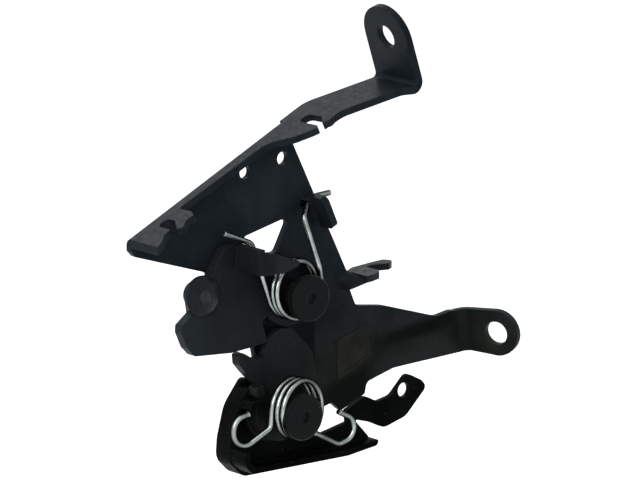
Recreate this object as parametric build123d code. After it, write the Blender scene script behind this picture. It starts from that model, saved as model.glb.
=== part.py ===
from build123d import *
import math
import os

os.makedirs("parts", exist_ok=True)

# All sizes are in millimetres. The drawing frame has the catch pivot at zero, x to the
# right, z up, and the front face of the web at y = 0. A level is a height in front of
# that face, towards the viewer, so a level of 5 lies at y = -5.

# Sheet, wire and fits
web_thickness = 3.0
catch_thickness = 5.0
pawl_thickness = 5.0
release_thickness = 2.5
spring_wire = 2.5
running_clearance = 0.05
side_clearance = 0.15
washer_thickness = 0.6

# Catch pivot: a headed rivet, fixed in the web, with a sleeve that the catch turns on
head_diameter = 19.7
head_thickness = 3.0
head_edge = 0.8
dimple_diameter = 5.0
dimple_depth = 1.2
catch_head_level = 21.0
catch_shank = 8.0
catch_sleeve = 12.0
tail_diameter = 14.0
tail_thickness = 2.0
washer_diameter = 22.0

# Release pivot: a spindle that turns in the web with the pawl and the release lever
release_pivot_x = -4.3
release_pivot_z = -50.1
release_head_level = 22.0
release_shank = 10.0
release_sleeve = 13.0

# Upper flange and mounting arm
flange_slope = 26.2
flange_height = 70.5
flange_left = -78.0
flange_lip = 5.2
arm_slope = 9.6
arm_knee = 15.0
arm_knee_radius = 28.0
arm_front = 21.0
tab_front = 24.6
arm_end = 54.0
tab_bend_radius = 2.0
bend_inside = 1.8
flange_bend_inside = 0.8
flange_bend_outside = 2.4
end_allowance = 6.0
fork_slot_width = 5.0
left_slot_x = -65.0
left_slot_level = 4.4
right_slot_x = 6.8
right_slot_level = 6.8

# Mounting tab on the end of the arm, and mounting pad on the end of the side arm
bolt_hole = 10.4
tab_lean = 17.7
tab_height = 20.5
tab_end_radius = 12.9
pad_bend = 67.0
pad_lean = 7.7
pad_reach = 15.8
pad_end_radius = 10.2
pad_drop = 0.8
pad_top_x = 98.4
pad_top_z = -22.1
pad_width = 18.8
pad_bend_radius = 4.5

# Small holes in the web
pilot_hole = 5.8
pilot_left = (-18.6, 52.8)
pilot_right = (1.2, 56.2)
leg_hole_x = 12.4
leg_hole_z = 35.6
leg_clearance = 1.1

# Spring ear on the right edge of the web
ear_top = 39.4
ear_bottom = 25.8
ear_level = 9.5
ear_corner = 2.5

# Cable bracket on the right edge of the web
bracket_height = 2.6
bracket_slot = 4.0
bracket_thickness = 2.8
neck_inset = 0.1

# Catch lever
catch_hub = 14.0
button_x = -46.4
button_z = 5.3
button_diameter = 17.0
button_rim = 1.6
button_dome = 2.0
button_shank = 7.0
catch_finger = 5.4
tab_root_x = -24.9
tab_top_z = 24.4
tab_bottom_z = 13.5
tab_level = 21.5
catch_tab_thickness = 2.8

# Pawl and release lever
pawl_hub = 13.0
release_hub = 14.0
release_flange_level = 3.0
cable_hole = 6.5
cable_x = 69.8
cable_z = -54.4
lug_level = 8.5
lip_level = 13.4
ledge_level = 9.5

# Torsion springs
catch_coil_turns = 2.5
release_coil_turns = 2.64
catch_coil = (-1.3, 2.2)
catch_coil_radius = 12.5
catch_coil_pitch = 2.65
catch_coil_level = 7.6
catch_coil_tilt = 7.0
release_coil = (-2.3, -48.3)
release_coil_radius = 12.2
release_coil_pitch = 2.9
release_coil_level = 9.7
release_coil_tilt = 10.0

# Worked out from the sizes above
web_back = -web_thickness
catch_back = washer_thickness + side_clearance
catch_front = catch_back + catch_thickness
pawl_back = washer_thickness + side_clearance
pawl_front = pawl_back + pawl_thickness
rear_washer_back = web_back - washer_thickness
release_front = rear_washer_back - side_clearance
release_back = release_front - release_thickness
catch_head_back = catch_head_level - head_thickness
release_head_back = release_head_level - head_thickness
flange_rise = math.tan(math.radians(flange_slope))
arm_rise = math.tan(math.radians(arm_slope))
pad_setback = pad_bend_radius * math.tan(math.radians(pad_bend / 2))
ear_setback = bend_inside + web_thickness


def level_plane(level):
    return Plane.XZ.offset(level)


def slab(sketch, low, high):
    return level_plane(low) * extrude(sketch, high - low)


def disc(x, z, diameter, low, high):
    return slab(Pos(x, z) * Circle(diameter / 2), low, high)


def outline(corners):
    # A closed outline from corners, each with the radius that rounds it.
    face = make_face(Polyline(*[(c[0], c[1]) for c in corners], close=True))
    if face.face().normal_at().Z < 0:
        face = Sketch() + -face.face()
    for x, z, radius in corners:
        if radius > 0:
            corner = face.vertices().sort_by_distance((x, z, 0))[0]
            face = fillet(corner, radius)
    return face


def fold(plane, width, angle, inside, thickness):
    # A bend at the end of a sheet whose front face lies in the plane. The bend line is
    # the plane's y axis; a positive angle folds to the front, a negative one to the back.
    height = inside if angle > 0 else -thickness - inside
    start = plane.origin + plane.z_dir * height
    side = plane.y_dir * (-1 if angle > 0 else 1)
    section = Plane(origin=plane.origin, x_dir=plane.y_dir, z_dir=plane.x_dir)
    strip = section * Pos(width / 2, -thickness / 2) * Rectangle(width, thickness)
    turned = math.radians(angle)
    ahead = plane.x_dir * math.cos(turned) + plane.z_dir * math.sin(turned)
    normal = plane.z_dir * math.cos(turned) - plane.x_dir * math.sin(turned)
    following = Plane(origin=start - normal * height, x_dir=ahead, z_dir=normal)
    return revolve(strip, Axis(start, side), abs(angle)), following


def flange_top(x):
    return flange_height + flange_rise * x


def knee_height():
    return flange_top(arm_knee)


def arm_top(x):
    return knee_height() + arm_rise * (x - arm_knee)


def edge_x(z):
    # The right edge of the web stands square to the flange.
    return 7.0 - flange_rise * (z - 61.2)


def pad_edge(height):
    # Where the pad's bend starts, at a height above the lower edge of the arm.
    lean = math.radians(pad_lean)
    along = Vector(math.sin(lean), -math.cos(lean)) * (pad_width - height)
    return Vector(pad_top_x, pad_top_z) + along - Vector(math.cos(lean), math.sin(lean)) * pad_setback


def web_sheet():
    corner_x = (7.0 - flange_rise * (flange_height - 61.2)) / (1 + flange_rise**2)
    sheet = outline([
        (flange_left, flange_top(flange_left), 0),
        (corner_x, flange_top(corner_x), 0),
        (edge_x(3.4), 3.4, 0),
        (37.0, -4.4, 0),
        (40.4, -12.4, 3),
        (55.7, -14.6, 20),
        (84.9, -23.6, 8),
        (93.0, -22.2, 4),
        (pad_edge(pad_width).X, pad_edge(pad_width).Y, 0),
        (pad_edge(0).X, pad_edge(0).Y, 0),
        (61.1, -42.6, 12),
        (46.5, -46.6, 3),
        (45.4, -51.6, 1.5),
        (32.4, -57.0, 1),
        (27.5, -52.8, 1.5),
        (12.0, -56.5, 4),
        (-4.3, -58.0, 0),
        (-13.5, -44.0, 4),
        (-13.0, -28.0, 6),
        (-17.0, -10.0, 6),
        (-31.0, 4.0, 6),
        (-38.6, 12.8, 1),
        (flange_left + 2.4, flange_top(flange_left) - 7.6, 2.5),
        (flange_left, flange_top(flange_left) - 5.0, 1.5),
    ])
    lobe = Pos(release_pivot_x, release_pivot_z) * Circle(14.0)
    window = outline([
        (-22.5, 15.5, 3),
        (-19.0, 25.6, 2),
        (1.4, 30.4, 2),
        (4.2, 28.6, 1.5),
        (-2.2, 16.5, 2.5),
    ])
    sheet = sheet + lobe - window
    sheet -= Circle(catch_shank / 2 + running_clearance)
    sheet -= Pos(release_pivot_x, release_pivot_z) * Circle(release_shank / 2 + running_clearance)
    return slab(sheet, web_back, 0)


def flange_plane():
    angle = math.radians(flange_slope)
    return Plane(
        origin=(0, 0, flange_height),
        x_dir=(math.cos(angle), 0, math.sin(angle)),
        z_dir=(-math.sin(angle), 0, math.cos(angle)),
    )


def upper_strip():
    # Flange, knee, arm and tab as one strip of sheet, seen along its edge.
    lean = math.radians(tab_lean)
    end = (arm_end, arm_top(arm_end))
    tip = (end[0] - 40 * math.sin(lean), end[1] + 40 * math.cos(lean))
    start = flange_left - end_allowance
    path = Polyline((start, flange_top(start)), (arm_knee, knee_height()), end, tip)
    knee = path.vertices().sort_by_distance((arm_knee, knee_height(), 0))[0]
    path = fillet(knee, arm_knee_radius)
    corner = path.vertices().sort_by_distance((end[0], end[1], 0))[0]
    path = fillet(corner, tab_bend_radius)
    edge = offset(path, web_thickness, side=Side.RIGHT, closed=True)
    return slab(make_face(edge), web_back, tab_front)


def on_flange(x, level, radius):
    # A corner of the flange: its x and level in the drawing, laid along the slope.
    return (x / math.cos(math.radians(flange_slope)), -level, radius)


def flange_cutter():
    # All that the flange lacks in front: two lobes with a slot each, and a narrow part.
    corners = [
        (flange_left - 5, 40.0, 0),
        (arm_knee - 1, 40.0, 0),
        (12.0, arm_front, 1.5),
        (9.0, arm_front + 0.6, 0.5),
        (7.6, arm_front - 0.4, 0.3),
        (5.8, arm_front - 0.2, 0.5),
        (right_slot_x + fork_slot_width / 2 + 0.4, 15.6, 1.5),
        (right_slot_x + fork_slot_width / 2, right_slot_level, 2.4),
        (right_slot_x - fork_slot_width / 2, right_slot_level, 2.4),
        (right_slot_x - fork_slot_width / 2 + 0.4, 18.6, 1.2),
        (3.8, 20.6, 1),
        (0.8, 18.8, 8),
        (-4.6, 14.6, 6),
        (-9.6, 7.6, 6),
        (-13.0, flange_lip, 6),
        (-52.6, flange_lip - 1.4, 2),
        (-55.8, 3.8, 1),
        (-55.6, 11.9, 2),
        (-57.2, 15.6, 1),
        (-60.4, 14.6, 3),
        (-64.6, 18.2, 1),
        (-66.4, 16.0, 0.8),
        (left_slot_x + fork_slot_width / 2, 9.6, 2),
        (left_slot_x + fork_slot_width / 2, left_slot_level, 2.4),
        (left_slot_x - fork_slot_width / 2, left_slot_level, 2.4),
        (left_slot_x - fork_slot_width / 2, 13.2, 1),
        (-71.0, 13.8, 2),
        (-74.8, 17.2, 2),
        (flange_left, 18.2, 0.8),
        (flange_left - 5, 18.6, 0),
    ]
    sheet = outline([on_flange(*corner) for corner in corners])
    return flange_plane() * Pos(0, 0, 4) * extrude(sheet, -web_thickness - 8)


def arm_cutter():
    # The arm is a little narrower than the tab at its end.
    sheet = outline([
        (arm_knee - 3, -arm_front, 0),
        (arm_knee - 3, -40.0, 0),
        (arm_end - 2, -40.0, 0),
        (arm_end - 2, -tab_front, 0),
        (arm_end - 6, -arm_front, 3),
    ])
    return Pos(0, 0, 60) * extrude(sheet, 40)


def tab_plane():
    lean = math.radians(tab_lean)
    return Plane(
        origin=(arm_end, 0, arm_top(arm_end)),
        x_dir=(0, -1, 0),
        z_dir=(-math.cos(lean), 0, -math.sin(lean)),
    )


def tab_cutter():
    # The tab ends in a half circle about its bolt hole.
    middle = (tab_front + web_back) / 2
    half = (tab_front - web_back) / 2
    keep = Pos(middle, tab_height / 2) * Rectangle(2 * half + 2, tab_height)
    keep += Pos(middle, tab_height) * Circle(half)
    sheet = Pos(middle, 24.0) * Rectangle(2 * half + 10, 48.0) - keep
    sheet += Pos(middle, tab_height) * Circle(bolt_hole / 2)
    return tab_plane() * Pos(0, 0, 2) * extrude(sheet, -web_thickness - 4)


def bend_plane():
    # Across the flange bend, at its right end; the plane looks back along the slope.
    angle = math.radians(flange_slope)
    corner = (7.0 - flange_rise * (flange_height - 61.2)) / (1 + flange_rise**2)
    return Plane(
        origin=(corner, 0, flange_top(corner)),
        x_dir=(0, -1, 0),
        z_dir=(-math.cos(angle), 0, -math.sin(angle)),
    )


def bend_length():
    run = bend_plane().origin.X - flange_left
    return run / math.cos(math.radians(flange_slope)) + end_allowance


def flange_bend():
    section = outline([
        (web_back, -web_thickness - 1.4, 0),
        (0, -web_thickness - 1.4, 0),
        (0, -web_thickness, flange_bend_inside),
        (flange_bend_outside, -web_thickness, 0),
        (flange_bend_outside, 0, 0),
        (web_back, 0, flange_bend_outside),
    ])
    return bend_plane() * extrude(section, bend_length())


def flange_relief():
    # The square corner of sheet that the bend replaces.
    block = Pos(web_back, 0) * Rectangle(2 * flange_bend_outside, 2 * flange_bend_outside)
    return bend_plane() * extrude(block, bend_length())


def end_cutter():
    # The left end of the flange is cut off upright, in line with the web's left edge.
    reach = 4 * end_allowance
    block = Pos(flange_left - reach / 2, flange_top(flange_left)) * Rectangle(reach, 2 * reach)
    return slab(block, web_back - 1, tab_front + 1)


def ear_plane():
    # The bend line of the ear stands inside the edge, so that its back is flush with it.
    angle = math.radians(flange_slope)
    return Plane(
        origin=(edge_x(ear_bottom) - ear_setback * math.cos(angle), 0,
                ear_bottom - ear_setback * math.sin(angle)),
        x_dir=(math.cos(angle), 0, math.sin(angle)),
        z_dir=(0, -1, 0),
    )


def ear():
    # A tab folded forward from the right edge of the web; one spring leg rests on it.
    length = math.dist((edge_x(ear_top), ear_top), (edge_x(ear_bottom), ear_bottom))
    bend, face = fold(ear_plane(), length, 90, bend_inside, web_thickness)
    reach = ear_level - bend_inside
    sheet = outline([
        (0, 0, 0),
        (reach - 1.0, 0, ear_corner),
        (reach, length, ear_corner),
        (0, length, 0),
    ])
    return bend + face * extrude(sheet, -web_thickness)


def ear_relief():
    length = math.dist((edge_x(ear_top), ear_top), (edge_x(ear_bottom), ear_bottom))
    block = Pos(ear_setback, length / 2) * Rectangle(2 * ear_setback, length)
    return ear_plane() * Pos(0, 0, -web_thickness) * extrude(block, web_thickness)


def mounting_pad():
    # The pad is folded forward about a line that leans a little from upright.
    lean = math.radians(pad_lean)
    edge = Plane(
        origin=(pad_edge(0).X, 0, pad_edge(0).Y),
        x_dir=(math.cos(lean), 0, math.sin(lean)),
        z_dir=(0, -1, 0),
    )
    bend, face = fold(edge, pad_width, pad_bend, pad_bend_radius, web_thickness)
    middle = pad_width / 2 - pad_drop
    reach = pad_reach - pad_setback
    sheet = outline([
        (0, 0, 0),
        (reach, middle - pad_end_radius, 0),
        (reach, middle + pad_end_radius, 0),
        (0, pad_width, 0),
    ])
    sheet += Pos(reach, middle) * Circle(pad_end_radius)
    sheet -= Pos(reach, middle) * Circle(bolt_hole / 2)
    return bend + face * extrude(sheet, -web_thickness)


def bracket_neck():
    # The sheet twists by a quarter turn between the edge of the web and the fork.
    top, low = bracket_height - neck_inset, bracket_height - bracket_thickness + neck_inset
    front, back = neck_inset, web_thickness - neck_inset
    sections = [
        [(31.0, front, 3.2), (31.0, front, -4.2), (31.0, back, -4.2), (31.0, back, 3.2)],
        [(34.6, 0.6, 3.8), (34.6, -6.2, -1.8), (34.6, -4.0, -4.0), (34.6, 2.8, 1.6)],
        [(39.6, 2.2, top), (39.6, -10.4, top), (39.6, -10.4, low), (39.6, 2.2, low)],
    ]
    wires = [Polyline(*points, close=True).wire() for points in sections]
    return Part() + Solid.make_loft(wires, ruled=True)


def cable_bracket():
    # A level fork: its long finger lies behind the web and its short one in front.
    sheet = outline([
        (37.6, 2.4, 0),
        (43.0, 6.4, 8),
        (56.0, 9.3, 10),
        (63.6, 10.6, 2.5),
        (66.0, 6.6, 2.5),
        (61.0, 2.9, 2),
        (52.6, 5.0, 1.2),
        (52.6 - bracket_slot, 3.6, 1.2),
        (53.2 - bracket_slot, -4.6, 1),
        (46.8, -8.0, 2),
        (41.0, -10.4, 4),
        (37.6, -11.2, 0),
    ])
    slab_top = Pos(0, 0, bracket_height - bracket_thickness)
    return slab_top * extrude(sheet, bracket_thickness) + bracket_neck()


def carrier_plate():
    body = upper_strip() - flange_relief()
    body += web_sheet() - flange_relief()
    body += flange_bend()
    body -= end_cutter()
    body -= flange_cutter()
    body -= arm_cutter()
    body -= tab_cutter()
    body += mounting_pad()
    body += cable_bracket()
    body = body - ear_relief() + ear()
    for x, z in (pilot_left, pilot_right):
        body -= disc(x, z, pilot_hole, web_back - 1, 1)
    body -= disc(leg_hole_x, leg_hole_z, spring_wire + leg_clearance, web_back - 1, 1)
    return body


def pivot_head(x, z, back, front):
    head = disc(x, z, head_diameter, back, front)
    rim = head.faces().sort_by(Axis.Y)[0].edges()
    head = fillet(rim, head_edge)
    dimple = disc(x, z, dimple_diameter, front - dimple_depth, front + 1)
    return head - dimple


def catch_pivot():
    body = pivot_head(0, 0, catch_head_back, catch_head_level)
    body += disc(0, 0, catch_shank, web_back - 1, catch_head_back)
    tail = disc(0, 0, tail_diameter, web_back - tail_thickness, web_back)
    tail = fillet(tail.faces().sort_by(Axis.Y)[-1].edges(), tail_thickness * 0.6)
    return body + tail


def release_pivot():
    x, z = release_pivot_x, release_pivot_z
    body = pivot_head(x, z, release_head_back, release_head_level)
    body += disc(x, z, release_shank, release_back - 1, release_head_back)
    tail = disc(x, z, tail_diameter, release_back - tail_thickness, release_back)
    tail = fillet(tail.faces().sort_by(Axis.Y)[-1].edges(), tail_thickness * 0.6)
    return body + tail


def ring(x, z, outside, bore, low, high):
    return slab(Pos(x, z) * (Circle(outside / 2) - Circle(bore / 2)), low, high)


def bore_for(shaft):
    return shaft + 2 * running_clearance


def catch_lever():
    x, z = button_x, button_z
    body = outline([
        (x, z, 0),
        (x - catch_finger + 0.6, z - 2.0, 0),
        (-50.2, -2.2, 1),
        (-56.0, -6.6, 1),
        (-56.2, -9.6, 1),
        (-53.2, -16.4, 2),
        (-49.6, -20.2, 2),
        (-30.6, -21.5, 4),
        (-19.3, -20.6, 4),
        (-11.2, -19.6, 0.6),
        (-14.6, -10.3, 2),
        (-9.0, -7.0, 0),
        (-4.0, 13.0, 0),
        (tab_root_x + 3.0, tab_bottom_z - 1.5, 2),
        (tab_root_x + 1.2, tab_bottom_z, 0),
        (tab_root_x, tab_bottom_z, 0),
        (tab_root_x, tab_top_z, 0),
        (-34.0, tab_top_z - 0.6, 3),
        (-41.0, 12.0, 4),
    ])
    finger = Pos(x, z) * Circle(catch_finger)
    hub = Circle(catch_hub)
    sheet = body + finger + hub
    sheet -= Circle(bore_for(catch_sleeve) / 2)
    sheet -= Pos(x, z) * Circle(bore_for(button_shank) / 2)
    return slab(sheet, catch_back, catch_front) + catch_tab()


def catch_tab():
    # A tab folded forward from the catch, with its end folded again over the spring.
    wall = slab(
        outline([
            (tab_root_x - catch_tab_thickness, tab_bottom_z, 0),
            (tab_root_x, tab_bottom_z, 0),
            (tab_root_x, tab_top_z, 0),
            (tab_root_x - catch_tab_thickness, tab_top_z, 0),
        ]),
        catch_back, tab_level)
    flap = slab(
        outline([
            (tab_root_x - catch_tab_thickness, tab_bottom_z, 0),
            (-14.7, tab_bottom_z - 0.5, 1),
            (-6.8, 15.4, 0.6),
            (-6.8, 17.2, 0.6),
            (-16.0, 20.6, 6),
            (tab_root_x - catch_tab_thickness, tab_top_z, 0),
        ]),
        tab_level - catch_tab_thickness, tab_level)
    return wall + flap


def catch_button():
    x, z = button_x, button_z
    rim = disc(x, z, button_diameter, catch_front, catch_front + button_rim)
    radius = button_diameter / 2
    ball = (radius**2 + button_dome**2) / (2 * button_dome)
    centre = catch_front + button_rim + button_dome - ball
    dome = Pos(x, -centre, z) * Sphere(ball)
    dome &= disc(x, z, button_diameter, catch_front + button_rim, catch_front + button_rim + button_dome)
    return rim + dome + disc(x, z, button_shank, catch_back, catch_front)


def pawl_lever():
    x, z = release_pivot_x, release_pivot_z
    body = outline([
        (-10.6, -17.6, 2),
        (-4.6, -14.9, 3),
        (1.2, -15.4, 4),
        (12.6, -27.0, 8),
        (14.0, -38.0, 6),
        (8.7, z, 0),
        (-17.0, z, 0),
        (-14.8, -39.5, 2),
        (-22.6, -31.6, 6),
        (-26.2, -27.4, 2),
        (-26.6, -23.2, 1),
        (-24.0, -22.6, 1),
        (-17.8, -26.4, 2),
        (-12.6, -25.6, 1.5),
    ])
    sheet = body + Pos(x, z) * Circle(pawl_hub)
    sheet -= Pos(x, z) * Circle(bore_for(release_shank) / 2)
    lug = slab(
        outline([
            (-17.4, -45.6, 1),
            (-12.0, -45.6, 0),
            (-12.0, -37.4, 0),
            (-17.4, -38.6, 1),
        ]),
        pawl_back, pawl_front)
    lug += slab(
        outline([
            (-19.4, -42.0, 1),
            (-15.0, -42.0, 0),
            (-15.0, -36.6, 1),
            (-19.4, -38.0, 1),
        ]),
        release_flange_level + side_clearance, lug_level)
    return slab(sheet, pawl_back, pawl_front) + lug


def inset(corners, distance):
    # The same outline with every side moved inwards; corners run anticlockwise.
    moved = []
    count = len(corners)
    for index in range(count):
        before = corners[index - 1]
        here = corners[index]
        after = corners[(index + 1) % count]
        first = Vector(here[0] - before[0], here[1] - before[1]).normalized()
        second = Vector(after[0] - here[0], after[1] - here[1]).normalized()
        turn = first.cross(second).Z
        split = (second - first) * (distance / turn)
        radius = max(here[2] - distance, 0) if turn > 0 else here[2] + distance
        moved.append((here[0] + split.X, here[1] + split.Y, radius))
    return moved


def release_foot():
    x, z = release_pivot_x, release_pivot_z
    return [
        (x + 8.0, z + 4.0, 0),
        (-16.8, -35.4, 3),
        (-25.6, -46.6, 16),
        (-29.2, -60.0, 16),
        (-29.9, -69.0, 7),
        (-22.6, -76.4, 6),
        (34.0, -76.4, 14),
        (52.6, -74.0, 2),
        (42.6, -63.2, 3),
        (28.4, -66.2, 2),
        (21.0, -67.6, 5),
    ]


def release_arm():
    return [
        (39.5, -67.0, 0),
        (44.0, -63.6, 0),
        (51.0, -65.6, 4),
        (59.0, -69.4, 6),
        (71.0, -66.0, 8),
        (82.6, -54.6, 2.5),
        (79.6, -51.4, 3),
        (71.8, -47.4, 3),
        (63.0, -56.0, 6),
        (55.6, -57.4, 4),
        (48.6, -53.8, 4),
        (38.4, -58.8, 1),
    ]


def release_lever():
    x, z = release_pivot_x, release_pivot_z
    foot = slab(outline(release_foot()), release_back, release_flange_level)
    foot -= slab(outline(inset(release_foot(), release_thickness)),
                 release_front, release_flange_level + 1)
    foot -= slab(
        outline([
            (-40.0, -20.0, 0),
            (-40.0, -39.4, 0),
            (-14.0, -39.4, 0),
            (-14.0, -66.0, 0),
            (45.0, -72.0, 0),
            (90.0, -72.0, 0),
            (90.0, -20.0, 0),
        ]),
        release_front, release_flange_level + 1)
    body = foot + slab(outline(release_arm()), release_back, release_front)
    body += disc(x, z, 2 * release_hub, release_back, release_front)
    body += release_ledge() + release_lip()
    body -= disc(x, z, bore_for(release_shank), release_back - 1, release_front + 1)
    body -= disc(cable_x, cable_z, cable_hole, release_back - 1, release_front + 1)
    return body


def release_ledge():
    # The spring pushes up under this ledge.
    sheet = outline([
        (-22.8, -43.4, 0),
        (-17.6, -42.8, 1),
        (-17.8, -45.6, 1),
        (-23.8, -46.4, 0),
    ])
    return slab(sheet, release_back, ledge_level)


def release_lip():
    arc = outline([
        (-29.2, -63.4, 0),
        (-26.7, -63.4, 0),
        (-26.9, -67.6, 3),
        (-23.6, -70.9, 0),
        (-25.4, -72.7, 0),
        (-29.4, -68.8, 5),
    ])
    return slab(arc, release_back, lip_level)


def coil(centre, radius, pitch, turns, level, tilt, start_angle, lefthand):
    # A helix that winds towards the viewer; its front end leans to the right.
    helix = Helix(pitch=pitch, height=pitch * turns, radius=radius, lefthand=lefthand)
    place = level_plane(level) * Pos(centre[0], centre[1]) * Rot(0, tilt, 0)
    return place * Rot(0, 0, start_angle) * helix


def wire_along(path):
    section = Plane(origin=path @ 0, z_dir=path % 0) * Circle(spring_wire / 2)
    return sweep(section, path=path)


def catch_spring():
    helix = coil(catch_coil, catch_coil_radius, catch_coil_pitch, catch_coil_turns,
                 catch_coil_level, catch_coil_tilt, -163, False)
    start = helix @ 0
    end = helix @ 1
    corner = start - (helix % 0) * 27.0
    hook = FilletPolyline(start, corner, (-36.3, -8.0, 30.6), radius=4)
    leg = FilletPolyline(
        end, end + (helix % 1) * 5.0, (7.8, -6.0, 31.2), (leg_hole_x, -2.4, leg_hole_z),
        (leg_hole_x, 5.8, leg_hole_z), (30.9, 5.8, leg_hole_z + 1.2),
        radius=1.5)
    return wire_along(Wire([*hook.edges(), *helix.edges(), *leg.edges()]))


def release_spring():
    helix = coil(release_coil, release_coil_radius, release_coil_pitch, release_coil_turns,
                 release_coil_level, release_coil_tilt, 180, True)
    start = helix @ 0
    end = helix @ 1
    low = start - (helix % 0) * 8.0
    joint = (low + Vector(-28.4, -12.0, -62.9)) / 2
    bend = FilletPolyline(start, low, joint, radius=3)
    hook = FilletPolyline(
        joint, (-28.4, -12.0, -62.9), (-35.2, -12.0, -58.6), (-34.6, -12.0, -48.9),
        (-26.4, -12.0, -47.4),
        radius=6)
    far = end + (helix % 1) * 2.3
    middle = (far + Vector(19.4, -15.0, -69.0)) / 2
    turn = FilletPolyline(end, far, middle, radius=1.6)
    loop = FilletPolyline(
        middle, (19.4, -15.0, -69.0), (27.6, -15.0, -66.6), (28.2, -15.0, -57.4),
        (19.2, -15.0, -52.4),
        radius=5.5)
    parts = (hook, bend, helix, turn, loop)
    return wire_along(Wire([edge for part in parts for edge in part.edges()]))


def build_parts():
    return {
        "carrier_plate": carrier_plate(),
        "catch_pivot": catch_pivot(),
        "catch_sleeve": ring(0, 0, catch_sleeve, bore_for(catch_shank), 0, catch_head_back),
        "catch_washer": ring(0, 0, washer_diameter, bore_for(catch_sleeve), 0, washer_thickness),
        "catch_lever": catch_lever(),
        "catch_button": catch_button(),
        "catch_spring": catch_spring(),
        "release_pivot": release_pivot(),
        "release_sleeve": ring(release_pivot_x, release_pivot_z, release_sleeve,
                               bore_for(release_shank), pawl_front, release_head_back),
        "pawl_washer": ring(release_pivot_x, release_pivot_z, washer_diameter,
                            bore_for(release_shank), 0, washer_thickness),
        "release_washer": ring(release_pivot_x, release_pivot_z, washer_diameter,
                               bore_for(release_shank), rear_washer_back, web_back),
        "pawl_lever": pawl_lever(),
        "release_lever": release_lever(),
        "release_spring": release_spring(),
    }


# The right locating hole of the web, at the web's front face, is the origin of the files.
origin = Pos(-pilot_right[0], 0, -pilot_right[1])
for name, shape in build_parts().items():
    export_step(origin * shape, "parts/" + name + ".step")
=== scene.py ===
import math
import bmesh
import bpy
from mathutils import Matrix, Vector


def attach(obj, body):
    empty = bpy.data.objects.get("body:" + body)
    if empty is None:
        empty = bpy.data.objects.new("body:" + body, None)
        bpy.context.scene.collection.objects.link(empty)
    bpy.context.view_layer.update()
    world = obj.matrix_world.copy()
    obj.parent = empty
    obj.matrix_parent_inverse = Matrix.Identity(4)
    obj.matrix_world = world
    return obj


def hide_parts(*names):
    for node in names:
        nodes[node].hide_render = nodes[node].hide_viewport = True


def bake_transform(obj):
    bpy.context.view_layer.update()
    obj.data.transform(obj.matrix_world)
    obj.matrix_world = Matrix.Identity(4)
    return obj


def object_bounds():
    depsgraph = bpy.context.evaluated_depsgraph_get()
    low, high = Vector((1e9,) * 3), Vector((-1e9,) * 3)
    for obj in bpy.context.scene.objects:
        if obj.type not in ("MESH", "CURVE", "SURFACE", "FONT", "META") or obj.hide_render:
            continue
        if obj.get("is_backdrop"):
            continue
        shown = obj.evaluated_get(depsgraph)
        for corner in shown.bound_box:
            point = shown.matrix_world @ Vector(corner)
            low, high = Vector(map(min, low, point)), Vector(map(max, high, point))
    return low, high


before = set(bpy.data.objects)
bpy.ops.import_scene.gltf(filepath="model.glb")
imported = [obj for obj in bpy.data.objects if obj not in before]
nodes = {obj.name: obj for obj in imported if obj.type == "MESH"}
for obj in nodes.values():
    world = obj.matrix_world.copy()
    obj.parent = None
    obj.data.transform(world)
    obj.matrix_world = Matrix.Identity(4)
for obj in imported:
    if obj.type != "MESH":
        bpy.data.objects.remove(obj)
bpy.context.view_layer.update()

print("frame loaded with", len(nodes), "nodes")

mm = 0.001    # m
sharpAngle = math.radians(50)    # a sharper bend than this shows as an edge

# Drawing frame of the CAD source, in mm: the catch pivot is at zero and y runs away from the
# viewer. This is the x and z of the right locating hole, where the shared frame has its origin.
pilotRight = (1.2, 56.2)


def place(x, y, z):
    return Vector((x - pilotRight[0], y, z - pilotRight[1])) * mm


# The camera of the photograph: a long lens, from the left and a little above
viewValues = {
    "target": (0.01460, -0.00669, -0.03570),
    "back": (-0.6067, -0.7654, 0.2147),
    "distance": 2.6,       # m
    "widthShown": 0.2682,  # m across the picture at the latch
    "sensor": 36.0,        # mm
    "clip": (0.05, 60.0),  # m
}


def makeCamera(values):
    lens = bpy.data.cameras.new("latchCamera")
    lens.sensor_width = values["sensor"]
    lens.lens = values["sensor"] * values["distance"] / values["widthShown"]
    lens.clip_start, lens.clip_end = values["clip"]
    camera = bpy.data.objects.new("latchCamera", lens)
    bpy.context.scene.collection.objects.link(camera)
    back = Vector(values["back"]).normalized()
    camera.location = Vector(values["target"]) + back * values["distance"]
    camera.rotation_mode = "QUATERNION"
    camera.rotation_quaternion = (-back).to_track_quat("-Z", "Y")
    bpy.context.scene.camera = camera


makeCamera(viewValues)
bpy.context.scene.view_settings.view_transform = "Standard"
print("camera ready")


# Helpers for node trees
def addNode(tree, kind, spot=(0, 0), **settings):
    node = tree.nodes.new(kind)
    node.location = spot
    for key, value in settings.items():
        setattr(node, key, value)
    return node


def freshMaterial(name):
    material = bpy.data.materials.new(name)
    material.use_nodes = True
    tree = material.node_tree
    tree.nodes.clear()
    output = addNode(tree, "ShaderNodeOutputMaterial", (900, 0))
    shader = addNode(tree, "ShaderNodeBsdfPrincipled", (600, 0))
    tree.links.new(shader.outputs["BSDF"], output.inputs["Surface"])
    return material, tree, shader


def noise(tree, vector, scale, detail=3.0, roughness=0.55, spot=(0, 0)):
    node = addNode(tree, "ShaderNodeTexNoise", spot)
    node.inputs["Scale"].default_value = scale
    node.inputs["Detail"].default_value = detail
    node.inputs["Roughness"].default_value = roughness
    tree.links.new(vector, node.inputs["Vector"])
    return node.outputs["Fac"]


noiseSpan = (0.3, 0.7)    # where most values of a noise lie


def spread(tree, value, low, high, outLow=0.0, outHigh=1.0, spot=(0, 0)):
    node = addNode(tree, "ShaderNodeMapRange", spot)
    node.inputs["From Min"].default_value = low
    node.inputs["From Max"].default_value = high
    node.inputs["To Min"].default_value = outLow
    node.inputs["To Max"].default_value = outHigh
    tree.links.new(value, node.inputs["Value"])
    return node.outputs["Result"]


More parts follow.
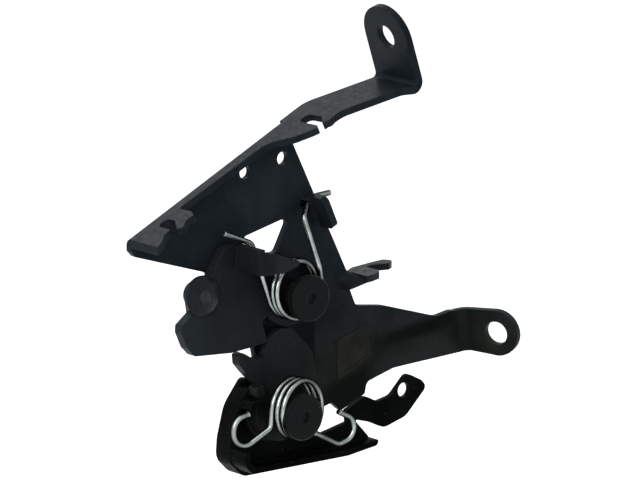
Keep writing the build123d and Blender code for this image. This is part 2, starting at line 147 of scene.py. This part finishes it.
def blendColours(tree, factor, first, second, spot=(0, 0)):
    node = addNode(tree, "ShaderNodeMix", spot, data_type="RGBA")
    tree.links.new(factor, node.inputs["Factor"])
    for socket, colour in ((node.inputs[6], first), (node.inputs[7], second)):
        if isinstance(colour, tuple):
            socket.default_value = (*colour, 1.0)
        else:
            tree.links.new(colour, socket)
    return node.outputs[2]


def calculate(tree, operation, first, second, spot=(0, 0)):
    node = addNode(tree, "ShaderNodeMath", spot, operation=operation)
    for socket, value in ((node.inputs[0], first), (node.inputs[1], second)):
        if isinstance(value, (int, float)):
            socket.default_value = value
        else:
            tree.links.new(value, socket)
    return node.outputs[0]


def edgeMask(tree, values, spot=(0, 0)):
    # How far the softened normal leaves the true one: large along the edges of the sheet
    across, down = spot
    soft = addNode(tree, "ShaderNodeBevel", spot, samples=6)
    soft.inputs["Radius"].default_value = values["edgeRadius"]
    true = addNode(tree, "ShaderNodeNewGeometry", (across, down - 200))
    dot = addNode(
        tree, "ShaderNodeVectorMath", (across + 200, down - 100), operation="DOT_PRODUCT")
    tree.links.new(soft.outputs["Normal"], dot.inputs[0])
    tree.links.new(true.outputs["Normal"], dot.inputs[1])
    edge = spread(tree, dot.outputs["Value"], *values["edgeSpan"], spot=(across + 400, down))
    return soft.outputs["Normal"], edge


def insidePatch(tree, where, sides):
    # 1 inside all the given sides, each one a direction, a limit along it in m and a soft border
    inside = 1.0
    for direction, limit, border in sides:
        along = addNode(tree, "ShaderNodeVectorMath", (-900, 1500), operation="DOT_PRODUCT")
        along.inputs[1].default_value = direction
        tree.links.new(where, along.inputs[0])
        edge = spread(tree, along.outputs["Value"], limit, limit + border, spot=(-700, 1500))
        inside = calculate(tree, "MULTIPLY", edge, inside, (-500, 1500))
    return inside


def cloudyTone(tree, where, cloud, values):
    # Two clouded tones, one for the upper and one for the lower part of the latch
    height = addNode(tree, "ShaderNodeSeparateXYZ", (-1200, 1100))
    tree.links.new(where, height.inputs[0])
    wander = calculate(tree, "MULTIPLY", cloud, values["toneWander"], (-900, 1000))
    uneven = calculate(tree, "ADD", height.outputs["Z"], wander, (-700, 1100))
    low = spread(tree, uneven, *values["toneSpan"], spot=(-500, 1100))
    upper = blendColours(tree, cloud, values["colour"], values["cloudColour"], (-500, 500))
    lower = blendColours(tree, cloud, values["lowColour"], values["lowCloudColour"], (-500, 300))
    return blendColours(tree, low, upper, lower, (-400, 400))


def paintedSteel(name, values):
    material, tree, shader = freshMaterial(name)
    where = addNode(tree, "ShaderNodeTexCoord", (-1400, 0)).outputs["Object"]
    softNormal, edge = edgeMask(tree, values, (-1200, -500))
    cloudScale, peelScale = values["cloudScale"], values["peelScale"]
    cloud = noise(tree, where, cloudScale, 5.0, 0.62, (-1100, 300))
    cloud = spread(tree, cloud, *values["cloudSpan"], spot=(-900, 300))
    peel = noise(tree, where, peelScale, 2.0, 0.5, (-1100, 0))
    grit = noise(tree, where, peelScale * values["gritFineness"], 2.0, 0.6, (-1100, -250))
    speck = noise(tree, where, values["speckScale"], 1.0, 0.4, (-1100, 550))
    speck = spread(tree, speck, *values["speckSpan"], spot=(-900, 550))
    rub = noise(tree, where, cloudScale * values["rubFineness"], 5.0, 0.7, (-1100, 800))
    rub = spread(tree, rub, *values["rubSpan"], spot=(-900, 800))

    colour = cloudyTone(tree, where, cloud, values)
    for patch in values["lightAndShadePatches"]:
        inside = insidePatch(tree, where, patch["sides"])
        share = calculate(tree, "MULTIPLY", inside, patch["share"], (-300, 700))
        colour = blendColours(tree, share, colour, patch["colour"], (-300, 500))
    colour = blendColours(tree, speck, colour, values["speckColour"], (-300, 300))
    wear = calculate(tree, "MULTIPLY", edge, rub, (-700, -300))
    wear = calculate(tree, "MULTIPLY", wear, values["wear"], (-500, 0))
    colour = blendColours(tree, wear, colour, values["wearColour"], (-100, 300))
    tree.links.new(colour, shader.inputs["Base Color"])

    rough = spread(tree, peel, *noiseSpan, *values["roughness"], (-500, -200))
    rubbed = calculate(tree, "MULTIPLY", rub, values["rubRoughness"], (-500, -400))
    rough = calculate(tree, "ADD", rough, rubbed, (-300, -200))
    tree.links.new(rough, shader.inputs["Roughness"])

    height = calculate(tree, "MULTIPLY", grit, values["gritShare"], (-700, -550))
    height = calculate(tree, "ADD", peel, height, (-500, -550))
    bump = addNode(tree, "ShaderNodeBump", (300, -400))
    bump.inputs["Strength"].default_value = values["bump"]
    bump.inputs["Distance"].default_value = values["bumpDepth"]
    tree.links.new(height, bump.inputs["Height"])
    tree.links.new(softNormal, bump.inputs["Normal"])
    tree.links.new(bump.outputs["Normal"], shader.inputs["Normal"])
    shader.inputs["Specular IOR Level"].default_value = values["specular"]
    shader.inputs["Specular Tint"].default_value = (*values["shineColour"], 1.0)
    return material


def dress(names, material):
    for name in names:
        slots = nodes[name].data.materials
        slots.clear()
        slots.append(material)


# Paint: lengths in m; a span runs from none of an effect to all of it
carrierPaintValues = {
    "colour": (0.0075, 0.0108, 0.0138), "cloudColour": (0.0168, 0.0222, 0.0270),
    "lowColour": (0.0055, 0.0075, 0.0060), "lowCloudColour": (0.0175, 0.0194, 0.0152),
    "toneSpan": (-0.040, -0.085), "toneWander": 0.02,    # heights of the upper and the lower tone
    "speckColour": (0.06, 0.066, 0.07), "wearColour": (0.045, 0.052, 0.058), "wear": 0.5,
    "cloudScale": 46.0, "cloudSpan": (0.36, 0.66), "speckScale": 900.0, "speckSpan": (0.76, 0.82),
    "rubFineness": 7.0, "rubSpan": (0.42, 0.66),    # rub, so many times finer than the clouds
    "peelScale": 620.0, "gritFineness": 3.1, "gritShare": 0.35,    # grit on top of the peel
    "bump": 0.10, "bumpDepth": 0.0002,
    "edgeRadius": 0.0008, "edgeSpan": (0.995, 0.80),
    "roughness": (0.28, 0.42), "rubRoughness": 0.10, "specular": 0.045,
    "shineColour": (0.78, 0.92, 1.0), "lightAndShadePatches": [],
}
leverPaintValues = dict(
    carrierPaintValues, colour=(0.0085, 0.0107, 0.0128), cloudColour=(0.0138, 0.0166, 0.0187),
    toneSpan=(-0.060, -0.110), roughness=(0.30, 0.45),
    lightAndShadePatches=[   # painted light: lighter towards the catch's free end and on the front of its tab
        {"colour": (0.0230, 0.0290, 0.0335), "share": 0.6, "sides": [((-1, 0, 0), 0.036, 0.014)]},
        {"colour": (0.0200, 0.0240, 0.0280), "share": 0.7, "sides": [
            ((0, -1, 0), 0.0135, 0.002), ((1, 0, 0), -0.0215, 0.003)]},
    ])
releasePaintValues = dict(
    carrierPaintValues, colour=(0.0030, 0.0036, 0.0034), cloudColour=(0.0062, 0.0070, 0.0066),
    lowColour=(0.0013, 0.0016, 0.0015), lowCloudColour=(0.0032, 0.0034, 0.0030),
    toneSpan=(-0.090, -0.130), roughness=(0.24, 0.38), specular=0.010)
pivotSteelValues = dict(
    carrierPaintValues, colour=(0.0032, 0.0041, 0.0038), cloudColour=(0.0062, 0.0075, 0.0070),
    lowColour=(0.0034, 0.0042, 0.0037), lowCloudColour=(0.0060, 0.0070, 0.0061),
    roughness=(0.18, 0.32), bump=0.22, specular=0.07)
washerValues = dict(
    carrierPaintValues, colour=(0.012, 0.013, 0.013), cloudColour=(0.02, 0.021, 0.021),
    roughness=(0.35, 0.5))
buttonValues = dict(
    carrierPaintValues, colour=(0.0075, 0.0092, 0.0112), cloudColour=(0.0125, 0.0148, 0.0172),
    roughness=(0.22, 0.34), specular=0.12)

# Patches on the front of the carrier, in turn: painted shade of the recess beside the pawl, a
# painted shade band along the side arm, painted light on that arm's lower edge, and darker below
# the stamped field
frontOnly = ((0, -1, 0), -0.0012, 0.0006)
alongArm = [frontOnly, ((1, 0, 0), 0.044, 0.014), ((-1, 0, 0), -0.094, 0.012)]
webPaintValues = dict(carrierPaintValues, lightAndShadePatches=[
    {"colour": (0.0003, 0.0001, 0.0002), "share": 1.0, "sides": [
        frontOnly, ((-1, 0, 0), -0.0173, 0.0006), ((0, 0, -1), 0.0716, 0.0006),
        ((1.327, 0, 1), -0.0706, 0.0060)]},
    {"colour": (0.0006, 0.0012, 0.0007), "share": 1.0, "sides": alongArm + [
        ((-0.11, 0, 1), -0.0972, 0.0035), ((0.11, 0, -1), 0.0872, 0.0035)]},
    {"colour": (0.0180, 0.0188, 0.0205), "share": 0.8, "sides": alongArm + [
        ((0.11, 0, -1), 0.0985, 0.004)]},
    {"colour": (0.0003, 0.0005, 0.0002), "share": 1.0, "sides": [
        frontOnly, ((0.296, 0, -1), 0.1062, 0.0045), ((1, 0, 0), 0.012, 0.014),
        ((-1, 0, 0), -0.051, 0.007)]},
])
hiddenSteel = ["catch_sleeve", "release_sleeve", "catch_washer", "pawl_washer", "release_washer"]
dress(["carrier_plate"], paintedSteel("carrierPaint", webPaintValues))
dress(["catch_lever", "pawl_lever"], paintedSteel("leverPaint", leverPaintValues))
dress(["release_lever"], paintedSteel("releasePaint", releasePaintValues))
dress(["catch_pivot", "release_pivot"], paintedSteel("pivotSteel", pivotSteelValues))
dress(hiddenSteel, paintedSteel("washerSteel", washerValues))
dress(["catch_button"], paintedSteel("buttonPlastic", buttonValues))
print("paint on the steel parts")


# Springs: the wire follows one route, made of two legs and a coil
def springWireMaterial(name, values):
    material, tree, shader = freshMaterial(name)
    where = addNode(tree, "ShaderNodeTexCoord", (-1200, 0)).outputs["Object"]
    along = addNode(tree, "ShaderNodeAttribute", (-1200, 300), attribute_name="alongWire")
    drawn = addNode(tree, "ShaderNodeTexNoise", (-900, 300), noise_dimensions="1D")
    drawn.inputs["Scale"].default_value = values["drawnScale"]
    tree.links.new(along.outputs["Fac"], drawn.inputs["W"])
    cloud = noise(tree, where, values["cloudScale"], 4.0, 0.6, (-900, 0))
    cloud = spread(tree, cloud, *values["cloudSpan"], spot=(-700, 0))
    colour = blendColours(tree, cloud, values["colour"], values["dullColour"], (-400, 200))
    # Painted reflection: the wire's colour darkens towards its round side, for darker surroundings
    # mirrored there; not near its cut ends
    side = addNode(tree, "ShaderNodeLayerWeight", (-600, 500)).outputs["Facing"]
    side = spread(tree, side, *values["sideReflectionSpan"], spot=(-400, 500))
    ends = addNode(tree, "ShaderNodeAttribute", (-1200, 700), attribute_name="fromEnd")
    ends = spread(tree, ends.outputs["Fac"], 0.0, values["endLength"], spot=(-900, 700))
    side = calculate(tree, "MULTIPLY", side, ends, (-200, 500))
    colour = blendColours(tree, side, colour, values["sideReflectionColour"], (-100, 300))
    tree.links.new(colour, shader.inputs["Base Color"])
    rough = spread(tree, drawn.outputs["Fac"], *noiseSpan, *values["roughness"], (-500, -100))
    tree.links.new(rough, shader.inputs["Roughness"])
    grain = noise(tree, where, values["grainScale"], 2.0, 0.6, (-900, -300))
    bump = addNode(tree, "ShaderNodeBump", (200, -300))
    bump.inputs["Strength"].default_value = values["bump"]
    bump.inputs["Distance"].default_value = values["bumpDepth"]
    tree.links.new(grain, bump.inputs["Height"])
    tree.links.new(bump.outputs["Normal"], shader.inputs["Normal"])
    shader.inputs["Metallic"].default_value = 1.0
    shader.inputs["Specular Tint"].default_value = (*values["rimColour"], 1.0)
    return material


zincValues = {
    "colour": (0.43, 0.47, 0.455), "dullColour": (0.24, 0.275, 0.265), "roughness": (0.20, 0.33),
    "sideReflectionColour": (0.022, 0.028, 0.027), "sideReflectionSpan": (0.02, 0.46),
    "rimColour": (0.22, 0.25, 0.25), "cloudScale": 160.0, "cloudSpan": (0.35, 0.65),
    "drawnScale": 3000.0, "grainScale": 2600.0, "bump": 0.12, "bumpDepth": 0.0001,
    "endLength": 0.004,    # share of the wire beside a cut end that keeps the tone of its front
}
zincWire = springWireMaterial("zincWire", zincValues)


def turnTo(values, turns):
    # A point of the coil, in the drawing frame, after so many turns
    sense = -1 if values["leftHand"] else 1
    angle = 2 * math.pi * turns * sense + math.radians(values["startAngle"])
    tilt = math.radians(values["tilt"])
    x = values["radius"] * math.cos(angle)
    z = values["radius"] * math.sin(angle)
    rise = values["pitch"] * turns
    across = x * math.cos(tilt) + rise * math.sin(tilt)
    ahead = -x * math.sin(tilt) + rise * math.cos(tilt)
    centreX, centreZ = values["centre"]
    return Vector((centreX + across, -values["level"] - ahead, centreZ + z))


def coilRun(values, steps=44):
    count = round(values["turns"] * steps)
    return [turnTo(values, values["turns"] * index / count) for index in range(count + 1)]


def bentRun(corners, bends, steps=9):
    # Straight runs with a round arc at each inner corner, within half of the run before the
    # corner and within the run after it
    points = [corners[0]]
    for before, corner, after, bend in zip(corners, corners[1:], corners[2:], bends):
        back = (before - corner).normalized()
        on = (after - corner).normalized()
        half = back.angle(on) / 2
        longest = min(0.499 * (before - corner).length, 0.999 * (after - corner).length)
        reach = min(bend / math.tan(half), longest)
        centre = corner + (back + on).normalized() * reach / math.cos(half)
        first = corner + back * reach - centre
        last = corner + on * reach - centre
        radius = first.length
        points += [
            centre + first.slerp(last, index / steps) * radius for index in range(steps + 1)]
    points.append(corners[-1])
    return points


def legRun(start, direction, values):
    # A spring leg: a straight run off the coil, then corners with the bend radius of each
    corners = [start, start + direction * values["run"]]
    corners += [Vector(corner[:3]) for corner in values["corners"]]
    bends = [values["bend"]] + [corner[3] for corner in values["corners"]]
    return bentRun(corners, bends)


def springRoute(values):
    coil = coilRun(values)
    into = (coil[0] - coil[1]).normalized()
    out = (coil[-1] - coil[-2]).normalized()
    hook = legRun(coil[0], into, values["hook"])
    leg = legRun(coil[-1], out, values["leg"])
    return hook[::-1] + coil[1:-1] + leg


def wireTree(material):
    tree = bpy.data.node_groups.new("roundWire", "GeometryNodeTree")
    face = tree.interface
    face.new_socket("Geometry", in_out="INPUT", socket_type="NodeSocketGeometry")
    radius = face.new_socket("Wire radius", in_out="INPUT", socket_type="NodeSocketFloat")
    step = face.new_socket("Step along wire", in_out="INPUT", socket_type="NodeSocketFloat")
    sides = face.new_socket("Sides round wire", in_out="INPUT", socket_type="NodeSocketInt")
    face.new_socket("Geometry", in_out="OUTPUT", socket_type="NodeSocketGeometry")
    start = addNode(tree, "NodeGroupInput", (-900, 0))
    stop = addNode(tree, "NodeGroupOutput", (900, 0))
    points = addNode(tree, "GeometryNodeResampleCurve", (-600, 0), mode="LENGTH")
    length = addNode(tree, "GeometryNodeSplineParameter", (-600, -300))
    stored = {"data_type": "FLOAT", "domain": "POINT"}
    keep = addNode(tree, "GeometryNodeStoreNamedAttribute", (-350, 0), **stored)
    keep.inputs["Name"].default_value = "alongWire"
    rest = addNode(tree, "ShaderNodeMath", (-350, -500), operation="SUBTRACT")
    rest.inputs[0].default_value = 1.0
    nearest = addNode(tree, "ShaderNodeMath", (-200, -500), operation="MINIMUM")
    keepEnd = addNode(tree, "GeometryNodeStoreNamedAttribute", (-200, 200), **stored)
    keepEnd.inputs["Name"].default_value = "fromEnd"
    circle = addNode(tree, "GeometryNodeCurvePrimitiveCircle", (-350, -300))
    sweep = addNode(tree, "GeometryNodeCurveToMesh", (-100, 0))
    sweep.inputs["Fill Caps"].default_value = True
    smooth = addNode(tree, "GeometryNodeSetShadeSmooth", (150, 0))
    solid = addNode(tree, "GeometryNodeRealizeInstances", (400, 0))
    paint = addNode(tree, "GeometryNodeSetMaterial", (650, 0))
    paint.inputs["Material"].default_value = material
    join = tree.links.new
    join(start.outputs["Geometry"], points.inputs["Curve"])
    join(start.outputs["Step along wire"], points.inputs["Length"])
    join(points.outputs["Curve"], keep.inputs["Geometry"])
    join(length.outputs["Length"], keep.inputs["Value"])
    join(start.outputs["Sides round wire"], circle.inputs["Resolution"])
    join(start.outputs["Wire radius"], circle.inputs["Radius"])
    join(length.outputs["Factor"], rest.inputs[1])
    join(length.outputs["Factor"], nearest.inputs[0])
    join(rest.outputs[0], nearest.inputs[1])
    join(keep.outputs["Geometry"], keepEnd.inputs["Geometry"])
    join(nearest.outputs[0], keepEnd.inputs["Value"])
    join(keepEnd.outputs["Geometry"], sweep.inputs["Curve"])
    join(circle.outputs["Curve"], sweep.inputs["Profile Curve"])
    join(sweep.outputs["Mesh"], smooth.inputs["Geometry"])
    join(smooth.outputs["Geometry"], solid.inputs["Geometry"])
    join(solid.outputs["Geometry"], paint.inputs["Geometry"])
    join(paint.outputs["Geometry"], stop.inputs["Geometry"])
    return tree, {"radius": radius.identifier, "step": step.identifier, "sides": sides.identifier}


roundWire, wireInputs = wireTree(zincWire)


def makeSpring(name, values):
    route = springRoute(values)
    curve = bpy.data.curves.new(name + "Route", "CURVE")
    curve.dimensions = "3D"
    spline = curve.splines.new("POLY")
    spline.points.add(len(route) - 1)
    for point, spot in zip(spline.points, route):
        point.co = (*place(*spot), 1.0)
    line = bpy.data.objects.new(name + "Route", curve)
    bpy.context.scene.collection.objects.link(line)
    sweep = line.modifiers.new("roundWire", "NODES")
    sweep.node_group = roundWire
    sweep[wireInputs["radius"]] = values["wire"] / 2 * mm
    sweep[wireInputs["step"]] = values["step"] * mm
    sweep[wireInputs["sides"]] = values["sides"]
    depsgraph = bpy.context.evaluated_depsgraph_get()
    mesh = bpy.data.meshes.new_from_object(line.evaluated_get(depsgraph), depsgraph=depsgraph)
    bpy.data.objects.remove(line)
    mesh.set_sharp_from_angle(angle=sharpAngle)
    spring = bpy.data.objects.new(name, mesh)
    bpy.context.scene.collection.objects.link(spring)
    return spring


# Both springs, in mm and degrees in the drawing frame: a corner is its place and its bend radius
catchSpringValues = {
    "wire": 2.5, "step": 0.6, "sides": 20,
    "centre": (-0.7, 2.4), "radius": 12.1, "pitch": 2.55, "level": 7.6, "tilt": 5.0,
    "turns": 2.458, "startAngle": -150.0, "leftHand": False,
    "hook": {"run": 1.0, "bend": 8.0, "corners": [
        (-21.6, -8.0, 24.4, 4.0), (-36.3, -8.0, 30.6, 0)]},
    "leg": {"run": 5.0, "bend": 1.5, "corners": [
        (7.8, -6.0, 31.2, 1.5), (12.4, -2.4, 35.6, 1.5), (12.4, 5.8, 35.6, 1.5),
        (30.9, 5.8, 36.8, 0)]},
}
catchSpring = makeSpring("catchSpring", catchSpringValues)
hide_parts("catch_spring")
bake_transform(catchSpring)

releaseSpringValues = {
    "wire": 2.5, "step": 0.6, "sides": 20,
    "centre": (-3.0, -48.0), "radius": 12.2, "pitch": 2.9, "level": 10.1, "tilt": 14.0,
    "turns": 2.64, "startAngle": 180.0, "leftHand": True,
    "hook": {"run": 6.6, "bend": 3.0, "corners": [
        (-28.0, -12.0, -61.2, 6.0), (-34.4, -12.0, -57.6, 6.0), (-34.0, -12.0, -48.7, 6.0),
        (-26.4, -12.0, -47.2, 0)]},
    "leg": {"run": 2.3, "bend": 1.6, "corners": [
        (19.4, -15.0, -66.7, 5.5), (27.0, -15.0, -64.8, 5.5), (27.8, -15.0, -57.0, 5.5),
        (19.0, -15.0, -52.4, 0)]},
}
releaseSpring = makeSpring("releaseSpring", releaseSpringValues)
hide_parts("release_spring")
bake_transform(releaseSpring)
print("springs wound")


def solidPiece(name, spots, faces, material, smooth=False):
    mesh = bpy.data.meshes.new(name)
    mesh.from_pydata(spots, [], faces)
    shape = bmesh.new()
    shape.from_mesh(mesh)
    bmesh.ops.recalc_face_normals(shape, faces=shape.faces)
    for face in shape.faces:
        face.smooth = smooth
    shape.to_mesh(mesh)
    shape.free()
    mesh.set_sharp_from_angle(angle=sharpAngle)
    piece = bpy.data.objects.new(name, mesh)
    bpy.context.scene.collection.objects.link(piece)
    mesh.materials.append(material)
    return piece


# The small raised centre of the catch's buffer, in mm
nubValues = {"radius": 3.0, "height": 0.95, "sunk": 0.25, "rings": 8, "sides": 40}
# painted highlight: the raised centre is painted lighter than the buffer, standing in for a soft
# highlight on it
nubHighlightPaintValues = dict(
    buttonValues, colour=(0.0170, 0.0200, 0.0240), cloudColour=(0.0360, 0.0400, 0.0460))


def makeNub(values):
    button = [Vector(corner) for corner in nodes["catch_button"].bound_box]
    middle = sum(button, Vector()) / len(button)
    front = min(corner.y for corner in button) + values["sunk"] * mm
    rings, sides = values["rings"], values["sides"]
    depth = (values["height"] + values["sunk"]) * mm
    spots = []
    for ring in range(rings):
        turn = math.pi / 2 * ring / rings
        wide, high = math.cos(turn) * values["radius"] * mm, math.sin(turn) * depth
        for side in range(sides):
            angle = 2 * math.pi * side / sides
            x, z = math.cos(angle) * wide, math.sin(angle) * wide
            spots.append((middle.x + x, front - high, middle.z + z))
    spots.append((middle.x, front - depth, middle.z))
    faces = []
    for ring in range(rings - 1):
        for side in range(sides):
            here, after = ring * sides + side, ring * sides + (side + 1) % sides
            faces.append((here, after, after + sides, here + sides))
    last = (rings - 1) * sides
    faces += [(last + side, last + (side + 1) % sides, rings * sides) for side in range(sides)]
    faces.append(tuple(reversed(range(sides))))
    paint = paintedSteel("bufferCentreHighlightPaint", nubHighlightPaintValues)
    return solidPiece("bufferCentre", spots, faces, paint, smooth=True)


nub = makeNub(nubValues)
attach(nub, "catch")


# The blank stamped field on the web: a thin raised plate with a frame
stampValues = {
    "corners": [(29.6, -26.2), (45.8, -21.2), (48.8, -35.0), (30.6, -43.6)],  # mm, x and z
    "frameShare": 0.88,    # where the frame ends, as a share of the way out from the middle
    "plateHeight": 0.05, "frameHeight": 0.16, "sunk": 0.02,    # mm
}
stampPaintValues = dict(
    carrierPaintValues, lowColour=(0.0115, 0.0110, 0.0080), lowCloudColour=(0.0250, 0.0236, 0.0172),
    cloudScale=150.0, bump=0.35)


def makeStamp(values):
    outer = [Vector(corner) for corner in values["corners"]]
    middle = sum(outer, Vector((0, 0))) / len(outer)
    inner = [middle + (corner - middle) * values["frameShare"] for corner in outer]
    high, low, sunk = -values["frameHeight"], -values["plateHeight"], values["sunk"]
    rings = [(outer, sunk), (outer, high), (inner, high), (inner, low)]
    spots = [place(x, y, z) for ring, y in rings for x, z in ring]
    count = len(outer)
    sides = [(side, (side + 1) % count) for side in range(count)]
    faces = [
        (ring + here, ring + after, ring + count + after, ring + count + here)
        for ring in range(0, count * (len(rings) - 1), count)
        for here, after in sides]
    faces.append(tuple(range(count)))
    faces.append(tuple(reversed(range(len(spots) - count, len(spots)))))
    paint = paintedSteel("stampPaint", stampPaintValues)
    return solidPiece("stampedField", spots, faces, paint)


stamp = makeStamp(stampValues)
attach(stamp, "carrier")
print("stamped field on the web")


# Floor and light of a plain studio
studioValues = {
    "floorDrop": 0.045,    # m below the latch
    "floorReach": 14,      # m to each side
    "floorColour": (0.86, 0.87, 0.87),
    "floorRoughness": 0.9,
    "floorGlow": 0.65,     # lifts the floor to white where it is seen
    "lightColour": (0.97, 0.985, 1.0),
    "lightLevel": 0.25,    # the world's light on the latch
    "aim": (0.01, 0, -0.04),    # m, where the soft boxes point
}

# Soft boxes: place and size in m, power in W
boxValues = [
    {"name": "topBox", "place": (-0.5, -0.2, 1.5), "size": 1.0, "power": 10.0},
    {"name": "leftBox", "place": (-1.4, -0.8, 0.8), "size": 1.0, "power": 16.0},
    {"name": "rightBox", "place": (1.3, -1.0, 0.4), "size": 0.9, "power": 0.8},
    {"name": "backBox", "place": (0.2, 1.3, 1.15), "size": 0.8, "power": 5.0},
]


def viewedDirectly(tree, spot):
    # 1 for what the camera, a reflection or a glass sees, 0 for what lights the latch
    across, down = spot
    rays = addNode(tree, "ShaderNodeLightPath", spot).outputs
    seen = calculate(
        tree, "MAXIMUM", rays["Is Camera Ray"], rays["Is Glossy Ray"], (across + 200, down))
    return calculate(tree, "MAXIMUM", seen, rays["Is Transmission Ray"], (across + 400, down))


def makeFloor(values):
    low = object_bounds()[0].z - values["floorDrop"]
    far = values["floorReach"]
    corners = [(-far, -far, low), (far, -far, low), (far, far, low), (-far, far, low)]
    mesh = bpy.data.meshes.new("studioFloor")
    mesh.from_pydata(corners, [], [(0, 1, 2, 3)])
    floor = bpy.data.objects.new("studioFloor", mesh)
    bpy.context.scene.collection.objects.link(floor)
    material, tree, shader = freshMaterial("floorPaint")
    shader.inputs["Base Color"].default_value = (*values["floorColour"], 1.0)
    shader.inputs["Roughness"].default_value = values["floorRoughness"]
    shader.inputs["Specular IOR Level"].default_value = 0.0
    glow = viewedDirectly(tree, (-600, 300))
    glow = calculate(tree, "MULTIPLY", glow, values["floorGlow"], (0, 300))
    tree.links.new(glow, shader.inputs["Emission Strength"])
    shader.inputs["Emission Color"].default_value = (1.0, 1.0, 1.0, 1.0)
    mesh.materials.append(material)
    floor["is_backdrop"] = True


def makeWorld(values):
    world = bpy.data.worlds.new("studioWorld")
    world.use_nodes = True
    bpy.context.scene.world = world
    tree = world.node_tree
    tree.nodes.clear()
    output = addNode(tree, "ShaderNodeOutputWorld", (600, 0))
    seen = viewedDirectly(tree, (-600, 200))
    light = addNode(tree, "ShaderNodeBackground", (0, 0))
    light.inputs["Color"].default_value = (*values["lightColour"], 1.0)
    light.inputs["Strength"].default_value = values["lightLevel"]
    white = addNode(tree, "ShaderNodeBackground", (0, -200))
    white.inputs["Color"].default_value = (1.0, 1.0, 1.0, 1.0)
    white.inputs["Strength"].default_value = 1.0
    mix = addNode(tree, "ShaderNodeMixShader", (300, 0))
    tree.links.new(seen, mix.inputs[0])
    tree.links.new(light.outputs[0], mix.inputs[1])
    tree.links.new(white.outputs[0], mix.inputs[2])
    tree.links.new(mix.outputs[0], output.inputs["Surface"])


def softBox(values, aim):
    lamp = bpy.data.lights.new(values["name"], "AREA")
    lamp.shape = "SQUARE"
    lamp.size = values["size"]
    lamp.energy = values["power"]
    holder = bpy.data.objects.new(values["name"], lamp)
    bpy.context.scene.collection.objects.link(holder)
    holder.location = values["place"]
    holder.rotation_mode = "QUATERNION"
    away = Vector(aim) - Vector(values["place"])
    holder.rotation_quaternion = away.to_track_quat("-Z", "Y")


makeFloor(studioValues)
makeWorld(studioValues)
for box in boxValues:
    softBox(box, studioValues["aim"])
print("studio ready")
